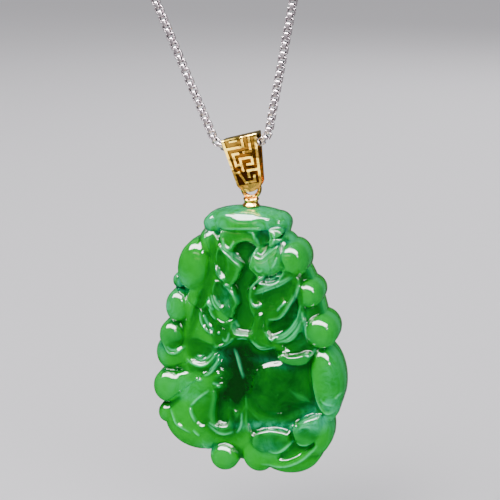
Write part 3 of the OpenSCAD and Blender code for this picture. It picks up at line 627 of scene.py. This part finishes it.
def face_places(rings):
    """Places of the face's points, ring by ring, as shares of the half width and height."""
    xs, zs = [np.zeros(1)], [np.zeros(1)]
    for k in range(1, rings + 1):
        angle = 2 * math.pi * np.arange(8 * k) / (8 * k)
        # The rings lie closer together towards the outline
        reach = outline(angle) * (k / rings * (1.25 - 0.25 * k / rings))
        xs.append(reach * np.cos(angle))
        zs.append(reach * np.sin(angle))
    return np.concatenate(xs), np.concatenate(zs)


def face_triangles(rings):
    faces = []
    for k in range(1, rings + 1):
        outer, inner = first_of(k), first_of(k - 1)
        count = max(1, 8 * (k - 1))
        for side in range(8):
            for j in range(k):
                a = outer + side * k + j
                b = outer + (side * k + j + 1) % (8 * k)
                c = inner + (side * (k - 1) + j) % count
                faces.append((a, c, b))
                if j < k - 1:
                    d = inner + (side * (k - 1) + j + 1) % count
                    faces.append((c, d, b))
    return faces


def back_faces(rings, front, last):
    """Faces from the face's last ring over the back's rings to the point in its middle."""
    around = 8 * rings
    rows = [first_of(rings)] + [front + row * around for row in range(len(BACK_RINGS))]
    faces = []
    for low, top in zip(rows, rows[1:]):
        for m in range(around):
            n = (m + 1) % around
            faces.append((low + m, low + n, top + n, top + m))
    for m in range(around):
        faces.append((rows[-1] + m, rows[-1] + (m + 1) % around, last))
    return faces


def make_jade(rings):
    """The carved face inside its outline, and the plain back."""
    around = 8 * rings
    x, z = face_places(rings)
    high, tone, line = relief(x, z)
    high[-around:] = 0
    wide = HALF_W * (1 - TAPER * (z - TAPER_FROM))
    front = np.stack([x * wide, -RELIEF * high, z * HALF_H], axis=1)
    points = [front]
    for share in BACK_RINGS:
        rim = front[-around:] * share
        rim[:, 1] = BACK * math.sqrt(1 - share ** BACK_PLUMP)
        points.append(rim)
    points = np.concatenate(points + [np.array([[0, BACK, 0]])])
    faces = face_triangles(rings) + back_faces(rings, len(front), len(points) - 1)
    jade = make_mesh("jade_carving", (points + JADE_AT) * MM, faces)

    def with_back(values, rest):
        """The face's values, and one value for the points of the back."""
        return np.append(values, np.full(len(points) - len(values), rest))

    # The material reads these of each point: height, hollow, tone, paleness and crest line; it paints
    # shade into the hollows, light onto the edges that stand out and a highlight along the crest line
    height = np.clip(-points[:, 1] / RELIEF, 0, 1.2) / 1.2
    height[points[:, 1] > 0] = 0.55
    hollow = with_back(concavity(high, rings), 0.5)
    depth = with_back(tone - patches(x, z, DEEP), BACK_TONE)
    pale = patches(points[:, 0] / HALF_W, points[:, 2] / HALF_H, PALE)
    pale[len(x):] *= 0.6
    crest = with_back(line, 0)
    for label, values in (("carving", (height, hollow, crest)), ("zones", (depth, pale, crest))):
        layer = jade.data.attributes.new(label, "FLOAT_VECTOR", "POINT")
        layer.data.foreach_set("vector", np.stack(values, axis=1).astype(np.float32).ravel())
    return jade


# Chain
# Distance between two places of the route, and the reach over which a link takes its way
ROUTE_STEP = 0.1
LINK_REACH = 0.3


def vec(angle):
    return np.array([math.cos(angle), math.sin(angle)])


def in_plane(place):
    """A place or way in the plane of the chain's loop, as one in space."""
    return np.array([place[0], 0, place[1]])


def cross(a, b):
    return a[0] * b[1] - a[1] * b[0]


def arc(mid, r, start, end):
    count = max(2, int(abs(end - start) * r / ROUTE_STEP))
    return [mid + r * vec(start + (end - start) * i / count) for i in range(count + 1)]


def between(start, end):
    count = max(2, int(np.linalg.norm(end - start) / ROUTE_STEP))
    return [start + (end - start) * i / count for i in range(1, count)]


def chain_route():
    """The route that part.scad gives the chain, from one end at the clasp to the other."""
    bridge_dir = vec(CHAIN_SLOPE)
    bridge_up = vec(CHAIN_SLOPE + math.pi / 2)
    left_dir = np.array([-math.sin(LEFT_LEAN), math.cos(LEFT_LEAN)])
    right_dir = np.array([math.sin(RIGHT_LEAN), math.cos(RIGHT_LEAN)])
    left_mid = -BRIDGE * bridge_dir + LEFT_R * bridge_up
    right_mid = BRIDGE * bridge_dir + RIGHT_R * bridge_up
    left_foot = left_mid - LEFT_R * vec(LEFT_LEAN)
    right_foot = right_mid + RIGHT_R * vec(-RIGHT_LEAN)
    left_reach = cross(right_foot - left_foot, right_dir) / cross(left_dir, right_dir)
    crossing = left_foot + left_reach * left_dir
    half = (LEFT_LEAN + RIGHT_LEAN) / 2
    lean = (LEFT_LEAN - RIGHT_LEAN) / 2
    neck_dir = np.array([-math.sin(lean), math.cos(lean)])
    left_turn = math.pi / 2 - LEFT_LEAN + CHAIN_SLOPE
    right_turn = math.pi / 2 - RIGHT_LEAN - CHAIN_SLOPE
    saved = np.linalg.norm(left_foot - crossing) + np.linalg.norm(right_foot - crossing)
    saved -= left_turn * LEFT_R + right_turn * RIGHT_R + 2 * BRIDGE
    loop_r = (CHAIN_LEN + saved) / (2 / math.tan(half) + math.pi + 2 * half)
    neck = np.array([0, CHAIN_W / 2 - loop_r])
    hang = neck - crossing - loop_r / math.sin(half) * neck_dir
    eye_step = ((CLASP_D - CLASP_WIRE) + (EYE_D - EYE_WIRE)) / 2
    gap = (eye_step + EYE_D / 2 + END_ROOM) / loop_r
    left_end = math.pi + LEFT_LEAN
    bridge_end = 1.5 * math.pi + CHAIN_SLOPE

    points = arc(neck, loop_r, CLASP_ANGLE + gap, left_end)
    points += between(points[-1], hang + left_foot)
    points += arc(hang + left_mid, LEFT_R, left_end, left_end + left_turn)
    points += between(points[-1], hang + right_mid - RIGHT_R * bridge_up)
    points += arc(hang + right_mid, RIGHT_R, bridge_end, bridge_end + right_turn)
    points += between(points[-1], neck + loop_r * vec(-RIGHT_LEAN))
    points += arc(neck, loop_r, -RIGHT_LEAN, CLASP_ANGLE - gap)
    return np.array(points)


def tube_faces(rings, sides):
    """Faces of a closed tube, whose points come ring by ring."""
    faces = []
    for i in range(rings):
        here, ahead = i * sides, (i + 1) % rings * sides
        for j in range(sides):
            beside = (j + 1) % sides
            faces.append((here + j, ahead + j, ahead + beside, here + beside))
    return faces


def box_link():
    """A square link of flat strip with softened edges, lying along X, its opening along Z."""
    strip, wide, soft = LINK_STRIP, LINK_WIDE / 2, LINK_SOFT
    section = [
        (-wide, soft), (-wide + soft, 0), (wide - soft, 0), (wide, soft),
        (wide, strip - soft), (wide - soft, strip), (-wide + soft, strip), (-wide, strip - soft),
    ]
    rows = []
    for quarter, (end, flank) in enumerate(((1, 1), (-1, 1), (-1, -1), (1, -1))):
        for step in range(CORNER_STEPS):
            angle = quarter * math.pi / 2 + step * math.pi / 4
            for z, inward in section:
                r = max(LINK_CORNER - inward, LINK_CORNER_LEAST)
                mid_x = end * (LINK_LONG / 2 - inward - r)
                mid_y = flank * (LINK_ACROSS / 2 - inward - r)
                rows.append((mid_x + r * math.cos(angle), mid_y + r * math.sin(angle), z))
    return np.array(rows), tube_faces(4 * CORNER_STEPS, len(section))


def end_ring(mid, way):
    """A round ring in the plane of a way and Y."""
    along = in_plane(way)
    up = np.cross(along, SIDE)
    half = END_RING_WIRE / 2
    r = (END_RING_D - END_RING_WIRE) / 2
    rows = []
    for i in range(RING_STEPS):
        a = 2 * math.pi * i / RING_STEPS
        out = math.cos(a) * along + math.sin(a) * SIDE
        for j in range(RING_SIDES):
            b = 2 * math.pi * j / RING_SIDES
            rows.append(in_plane(mid) + out * (r + half * math.cos(b)) + up * half * math.sin(b))
    return np.array(rows), tube_faces(RING_STEPS, RING_SIDES)


def make_chain():
    """Box links along the route, every second one turned, and a round ring at each end."""
    route = chain_route()
    step = np.linalg.norm(np.diff(route, axis=0), axis=1)
    far = np.concatenate([[0], np.cumsum(step)])

    def on_route(s):
        return np.array([np.interp(s, far, route[:, i]) for i in (0, 1)])

    count = int(round((far[-1] - LINK_LONG) / LINK_PITCH)) + 1
    count += 1 - count % 2
    pitch = (far[-1] - LINK_LONG) / (count - 1)
    link, link_faces = box_link()
    parts = []
    for k in range(count):
        s = LINK_LONG / 2 + k * pitch
        way = on_route(s + LINK_REACH) - on_route(s - LINK_REACH)
        axis = in_plane(way / np.linalg.norm(way))
        across = np.cross(axis, SIDE) if k % 2 else SIDE
        through = np.cross(axis, across)
        place = link[:, :1] * axis + link[:, 1:2] * across + link[:, 2:] * through
        parts.append((place + in_plane(on_route(s)), link_faces))
    # The end rings go through the last link and the clasp's eye
    for end, before in ((route[0], route[1]), (route[-1], route[-2])):
        way = (before - end) / np.linalg.norm(before - end)
        parts.append(end_ring(end - way * END_RING_OUT, way))

    points, faces = [], []
    base = 0
    for rows, part_faces in parts:
        points.append(rows)
        faces += [tuple(base + corner for corner in face) for face in part_faces]
        base += len(rows)
    return make_mesh("box_chain", np.concatenate(points) * MM, faces)


# Materials
def new_material(name):
    mat = bpy.data.materials.new(name)
    mat.use_nodes = True
    tree = mat.node_tree
    tree.nodes.clear()
    out = tree.nodes.new("ShaderNodeOutputMaterial")
    shader = tree.nodes.new("ShaderNodeBsdfPrincipled")
    tree.links.new(shader.outputs[0], out.inputs[0])
    return mat, tree, shader


def set_inputs(shader, values):
    for label, value in values.items():
        shader.inputs[label].default_value = value


def attribute(tree, name):
    """The three values of a point attribute."""
    made = tree.nodes.new("ShaderNodeAttribute")
    made.attribute_name = name
    parts = tree.nodes.new("ShaderNodeSeparateXYZ")
    tree.links.new(made.outputs["Vector"], parts.inputs[0])
    return tuple(parts.outputs)


def math_node(tree, operation, a, b=None, clamp=False):
    made = tree.nodes.new("ShaderNodeMath")
    made.operation = operation
    made.use_clamp = clamp
    for index, value in enumerate((a, b)):
        if value is None:
            continue
        if isinstance(value, (int, float)):
            made.inputs[index].default_value = value
        else:
            tree.links.new(value, made.inputs[index])
    return made.outputs[0]


def times(tree, a, b, clamp=False):
    return math_node(tree, "MULTIPLY", a, b, clamp)


def swing(tree, value, size):
    """A noise made to swing about zero."""
    return times(tree, math_node(tree, "SUBTRACT", value, 0.5), size)


def mix_colour(tree, factor, a, b):
    made = tree.nodes.new("ShaderNodeMix")
    made.data_type = "RGBA"
    for socket, value in ((made.inputs[0], factor), (made.inputs[6], a), (made.inputs[7], b)):
        if isinstance(value, (int, float)):
            socket.default_value = value
        elif isinstance(value, tuple):
            socket.default_value = (*value, 1)
        else:
            tree.links.new(value, socket)
    return made.outputs[2]


def noise(tree, scale, detail, rough, distortion=0.0):
    made = tree.nodes.new("ShaderNodeTexNoise")
    set_inputs(made, {"Scale": scale, "Detail": detail, "Roughness": rough, "Distortion": distortion})
    place = tree.nodes.new("ShaderNodeTexCoord")
    tree.links.new(place.outputs["Object"], made.inputs["Vector"])
    return made.outputs["Fac"]


def ramp(tree, factor, low, high):
    """A smooth rise from 0 at low to 1 at high, or a fall where high is the lower one."""
    made = tree.nodes.new("ShaderNodeMapRange")
    made.interpolation_type = "SMOOTHSTEP"
    made.inputs[1].default_value = low
    made.inputs[2].default_value = high
    tree.links.new(factor, made.inputs[0])
    return made.outputs[0]


def bump(tree, height, strength, distance, under=None):
    made = tree.nodes.new("ShaderNodeBump")
    set_inputs(made, {"Strength": strength, "Distance": distance})
    tree.links.new(height, made.inputs["Height"])
    if under:
        tree.links.new(under, made.inputs["Normal"])
    return made.outputs[0]


# Greens of the jade from its darkest pools to its raised forms
TONES = ((0.0003, 0.024, 0.0008), (0.0004, 0.118, 0.0050), (0.0002, 0.31, 0.0140))
# Painted shade for the hollows and painted light for the edges that stand out
HOLLOW_SHADE_GREEN = (0.0008, 0.04, 0.002)
EDGE_LIGHT_GREEN = (0.006, 0.34, 0.05)
# Painted highlight along the ridges' crests
CREST_HIGHLIGHT_GREEN = (0.05, 0.62, 0.26)
RIM_GREEN = (0.012, 0.42, 0.12)
MILK_GREEN = (0.02, 0.46, 0.27)
SPECK_GREEN = (0.02, 0.5, 0.05)


def jade_material():
    mat, tree, shader = new_material("green_jade")
    height, hollow, crest = attribute(tree, "carving")
    depth, pale, _ = attribute(tree, "zones")
    clouds = noise(tree, 150, 5, 0.6, 0.8)
    specks = noise(tree, 900, 3, 0.6)
    wisps = noise(tree, 420, 5, 0.62, 2.0)
    # Body: the tone of each area, mottled by clouds and wisps
    mottle = math_node(tree, "ADD", swing(tree, clouds, 0.42), swing(tree, wisps, 0.24))
    tone = math_node(tree, "ADD", depth, mottle)
    colour = mix_colour(tree, ramp(tree, tone, 0.0, 0.32), TONES[0], TONES[1])
    colour = mix_colour(tree, ramp(tree, tone, 0.25, 0.8), colour, TONES[2])
    # Over it: where each green lies, its strength and the green, with painted shade, painted light and a
    # painted highlight among them
    layers = (
        # Painted shade darkens the hollows
        (ramp(tree, hollow, 0.52, 0.9), 0.6, HOLLOW_SHADE_GREEN),
        # Painted light brightens the edges that stand out
        (ramp(tree, hollow, 0.47, 0.25), 0.35, EDGE_LIGHT_GREEN),
        # Painted highlight along the ridges' crests
        (times(tree, crest, ramp(tree, wisps, 0.2, 0.5), True), 0.55, CREST_HIGHLIGHT_GREEN),
        (ramp(tree, height, 0.32, 0.06), 0.5, RIM_GREEN),
        (times(tree, pale, ramp(tree, wisps, 0.25, 0.7), True), 0.7, MILK_GREEN),
        (ramp(tree, specks, 0.62, 0.8), 0.12, SPECK_GREEN),
    )
    for where, strength, green in layers:
        colour = mix_colour(tree, times(tree, where, strength), colour, green)
    tree.links.new(colour, shader.inputs["Base Color"])
    set_inputs(shader, {
        "Roughness": 0.055, "IOR": 1.62, "Subsurface Weight": 0.35,
        "Subsurface Radius": (0.5, 1.0, 0.45), "Subsurface Scale": 0.0010,
    })
    waves = bump(tree, noise(tree, 520, 3, 0.5), 0.3, 0.00004)
    tree.links.new(waves, shader.inputs["Normal"])
    return mat


def metal_material(name, bright, dark, rough, worn, corner_shade, dent, dent_scale, metallic=1.0, ground=None):
    """Metal with painted shade that darkens its corners, dented and finely grained, with a sunk ground.
    """
    mat, tree, shader = new_material(name)
    grain = noise(tree, 1400, 4, 0.6)
    broad = noise(tree, 420, 3, 0.5)
    colour = mix_colour(tree, ramp(tree, broad, 0.35, 0.7), bright, dark)
    # Painted shade: an occlusion mask turns the colour to a darker copy in the corners
    open_sky = tree.nodes.new("ShaderNodeAmbientOcclusion")
    open_sky.samples = 8
    open_sky.inputs["Distance"].default_value = 0.0007
    shaded_corners = times(tree, ramp(tree, open_sky.outputs["AO"], 0.9, 0.35), corner_shade)
    colour = mix_colour(tree, shaded_corners, colour, tuple(0.3 * part for part in dark))
    if ground:
        colour = mix_colour(tree, ground(tree), colour, GROUND_BROWN)
    tree.links.new(colour, shader.inputs["Base Color"])
    shader.inputs["Metallic"].default_value = metallic
    rough_mix = math_node(tree, "ADD", times(tree, grain, worn), rough - worn / 2)
    tree.links.new(rough_mix, shader.inputs["Roughness"])
    dents = bump(tree, noise(tree, dent_scale, 2, 0.4), 1, dent)
    tree.links.new(bump(tree, grain, 0.35, 0.00003, dents), shader.inputs["Normal"])
    return mat


def along_axis(tree, axis, origin):
    """How far a place lies along an axis from an origin, in metres."""
    place = tree.nodes.new("ShaderNodeTexCoord")
    dot = tree.nodes.new("ShaderNodeVectorMath")
    dot.operation = "DOT_PRODUCT"
    tree.links.new(place.outputs["Object"], dot.inputs[0])
    dot.inputs[1].default_value = tuple(axis)
    return math_node(tree, "SUBTRACT", dot.outputs["Value"], float(np.dot(axis, origin)))


def tilted(degrees):
    """The ways along and up, in the XZ plane, of what is tilted up to the right."""
    angle = math.radians(degrees)
    return (np.array([math.cos(angle), 0, math.sin(angle)]),
            np.array([-math.sin(angle), 0, math.cos(angle)]))


# Ways along and up the bail, and up and out of its front plate
BAIL_ALONG, BAIL_UP = tilted(BAIL_TILT)
PLATE_UP = tilted(BAIL_TILT + BAIL_SLANT)[1]
PLATE_OUT = (np.array([0, -math.cos(math.radians(BAIL_LEAN)), 0])
             - PLATE_UP * math.sin(math.radians(BAIL_LEAN)))
GROUND_BROWN = (0.085, 0.028, 0.004)


def meander_mask(tree):
    """One on the sunk ground of the bail's meander, between its borders."""
    out = along_axis(tree, PLATE_OUT, BAIL_AT * MM)
    across = math_node(tree, "ABSOLUTE", along_axis(tree, BAIL_ALONG, BAIL_AT * MM))
    drop = math_node(tree, "SUBTRACT", GROUND_TOP * MM, along_axis(tree, BAIL_UP, BAIL_AT * MM))
    inner = math_node(tree, "ADD", across, times(tree, drop, GROUND_TAPER))
    # The ground lies 0.2 mm behind the raised face
    sunk = ramp(tree, out, (BAIL_FACE - 0.09) * MM, (BAIL_FACE - 0.14) * MM)
    skin = ramp(tree, out, (BAIL_FACE - 0.26) * MM, (BAIL_FACE - 0.22) * MM)
    sides = ramp(tree, inner, (GROUND_HALF + 0.03) * MM, (GROUND_HALF - 0.03) * MM)
    top = ramp(tree, drop, 0.1 * MM, 0.35 * MM)
    # It is a little darker towards the foot
    deeper = math_node(tree, "ADD", times(tree, ramp(tree, drop, 1 * MM, 4.2 * MM), 0.1), 0.9)
    mask = times(tree, sunk, skin)
    for part in (sides, top, deeper):
        mask = times(tree, mask, part)
    return mask


gold = metal_material(
    "bail_gold", bright=(1.0, 0.74, 0.16), dark=(0.98, 0.55, 0.09), rough=0.17, worn=0.12,
    corner_shade=0.7, dent=0.0004, dent_scale=330, ground=meander_mask)
cup_gold = metal_material(
    "cup_gold", bright=(1.0, 0.60, 0.12), dark=(0.94, 0.40, 0.05), rough=0.22, worn=0.14,
    corner_shade=0.8, dent=0.0005, dent_scale=1100)
silver = metal_material(
    "white_metal", bright=(1.0, 0.87, 0.92), dark=(0.9, 0.76, 0.83), rough=0.27, worn=0.1,
    corner_shade=1.0, dent=0.00001, dent_scale=600, metallic=0.93)

jade = make_jade(RINGS)
jade.data.materials.append(jade_material())
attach(jade, "drop")
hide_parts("jade")

chain = make_chain()
chain.data.materials.append(silver)
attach(chain, "necklace")
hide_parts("chain")

for label, metal in (("bail", gold), ("eye_cup", cup_gold), ("clasp", silver)):
    for slot in nodes[label].material_slots:
        slot.material = metal

# Stage: a pale floor, and a dome of the same tone far round it that only the camera sees
FLOOR_DROP = 0.012
FLOOR_HALF = 3
DOME_R = 2.8
DOME_ROWS = 8
DOME_STEPS = 36
DOME_ANGLE = math.radians(10)
DOME_SINK = 0.6


def make_floor(floor_z):
    corners = ((-1, -1), (1, -1), (1, 1), (-1, 1))
    points = [(FLOOR_HALF * x, FLOOR_HALF * y, floor_z) for x, y in corners]
    return make_mesh("floor", points, [(0, 1, 2, 3)])


def make_backdrop(floor_z):
    points = [(0, 0, floor_z + DOME_R)]
    for row in range(1, DOME_ROWS + 1):
        high = math.pi / 2 - DOME_ANGLE * row
        # The last row reaches below the floor
        z = floor_z + DOME_R * math.sin(high) - (DOME_SINK if row == DOME_ROWS else 0)
        r = DOME_R * math.cos(high)
        for step in range(DOME_STEPS):
            points.append((r * math.cos(DOME_ANGLE * step), r * math.sin(DOME_ANGLE * step), z))
    faces = [(0, 1 + step, 1 + (step + 1) % DOME_STEPS) for step in range(DOME_STEPS)]
    for row in range(DOME_ROWS - 1):
        first = 1 + DOME_STEPS * row
        for step in range(DOME_STEPS):
            a, b = first + step, first + (step + 1) % DOME_STEPS
            faces.append((a, a + DOME_STEPS, b + DOME_STEPS, b))
    return make_mesh("backdrop", points, faces)


pale, _, pale_shader = new_material("pale_floor")
set_inputs(pale_shader, {
    "Base Color": (0.34, 0.33, 0.35, 1), "Roughness": 0.6,
    "Emission Color": (0.74, 0.72, 0.76, 1), "Emission Strength": 0.54,
})
floor = make_floor(cad_box[0][2] - FLOOR_DROP)
backdrop = make_backdrop(cad_box[0][2] - FLOOR_DROP)
backdrop.visible_diffuse = False
backdrop.visible_shadow = False
for thing in (floor, backdrop):
    thing.data.materials.append(pale)
    thing.visible_glossy = False


def direction(azimuth, elevation):
    """The way from the object to what stands at this azimuth and elevation."""
    az, el = math.radians(azimuth), math.radians(elevation)
    return Vector((math.sin(az) * math.cos(el), -math.cos(az) * math.cos(el), math.sin(el)))


def face_way(thing, way):
    """Turn a camera or a light so that it looks against this way."""
    thing.rotation_euler = way.to_track_quat("Z", "Y").to_euler()


# Camera at the photograph's angle: 14 degrees round to the right and 14 degrees above
CAMERA_AZ = 14
CAMERA_EL = 14
CAMERA_FAR = 0.2153
AIM_UP = 0.01356
to_camera = direction(CAMERA_AZ, CAMERA_EL)
camera_up = -direction(CAMERA_AZ, CAMERA_EL - 90)
camera_data = bpy.data.cameras.new("camera")
camera_data.lens = 100
camera_data.sensor_width = 36
camera_data.clip_start = 0.01
camera = bpy.data.objects.new("camera", camera_data)
camera.location = Vector(JADE_AT * MM) + camera_up * AIM_UP + to_camera * CAMERA_FAR
face_way(camera, to_camera)
bpy.context.collection.objects.link(camera)
bpy.context.scene.camera = camera


# Lights
def area_light(name, azimuth, elevation, reach, size, power, colour=(1, 1, 1)):
    """A rectangular light aimed at the jade: its distance, its width and height, its power."""
    way = direction(azimuth, elevation)
    data = bpy.data.lights.new(name, "AREA")
    data.shape = "RECTANGLE"
    data.size, data.size_y = size
    data.energy = power
    data.color = colour
    lamp = bpy.data.objects.new(name, data)
    lamp.location = Vector(JADE_AT * MM) + way * reach
    face_way(lamp, way)
    bpy.context.collection.objects.link(lamp)
    return lamp


# A broad softbox above and in front and a small one at the right, seen in the highlights only
for label, azimuth, elevation, size, power in (
        ("softbox", -8, 62, (1.2, 0.34), 66),
        ("small_box", 48, 24, (0.05, 0.05), 1.4)):
    lamp = area_light(label, azimuth, elevation, 0.6, size, power)
    lamp.visible_diffuse = False

# Three soft fills with no highlight of their own
for label, azimuth, elevation, power in (
        ("fill_left", -35, 45, 9), ("fill_right", 40, 30, 4), ("fill_back", 165, 40, 6)):
    lamp = area_light(label, azimuth, elevation, 0.7, (0.5, 0.5), power)
    lamp.visible_glossy = False

# Two small cards close in front of the bail, where its plate mirrors them to the camera:
# place up the plate, width and height in mm, power and colour
CARD_OUT = 1.5
CARD_FAR = 0.022
plate_up, plate_out = Vector(PLATE_UP), Vector(PLATE_OUT)
mirrored = 2 * plate_out.dot(to_camera) * plate_out - to_camera
for label, along, wide, high, power, colour in (
        ("upper_card", 0.4, 16, 3.4, 0.0008, (1, 0.95, 0.6)),
        ("lower_card", -6.6, 12, 2, 0.0001, (1, 0.72, 0.34))):
    lamp = area_light(label, 0, 0, 0.1, (wide * MM, high * MM), power, colour)
    on_plate = Vector(BAIL_AT * MM) + plate_up * along * MM + plate_out * CARD_OUT * MM
    lamp.location = on_plate + mirrored * CARD_FAR
    face_way(lamp, mirrored)
    lamp.visible_diffuse = False

world = bpy.data.worlds.new("studio")
world.use_nodes = True
set_inputs(world.node_tree.nodes["Background"], {"Color": (0.85, 0.87, 0.92, 1), "Strength": 0.11})
bpy.context.scene.world = world
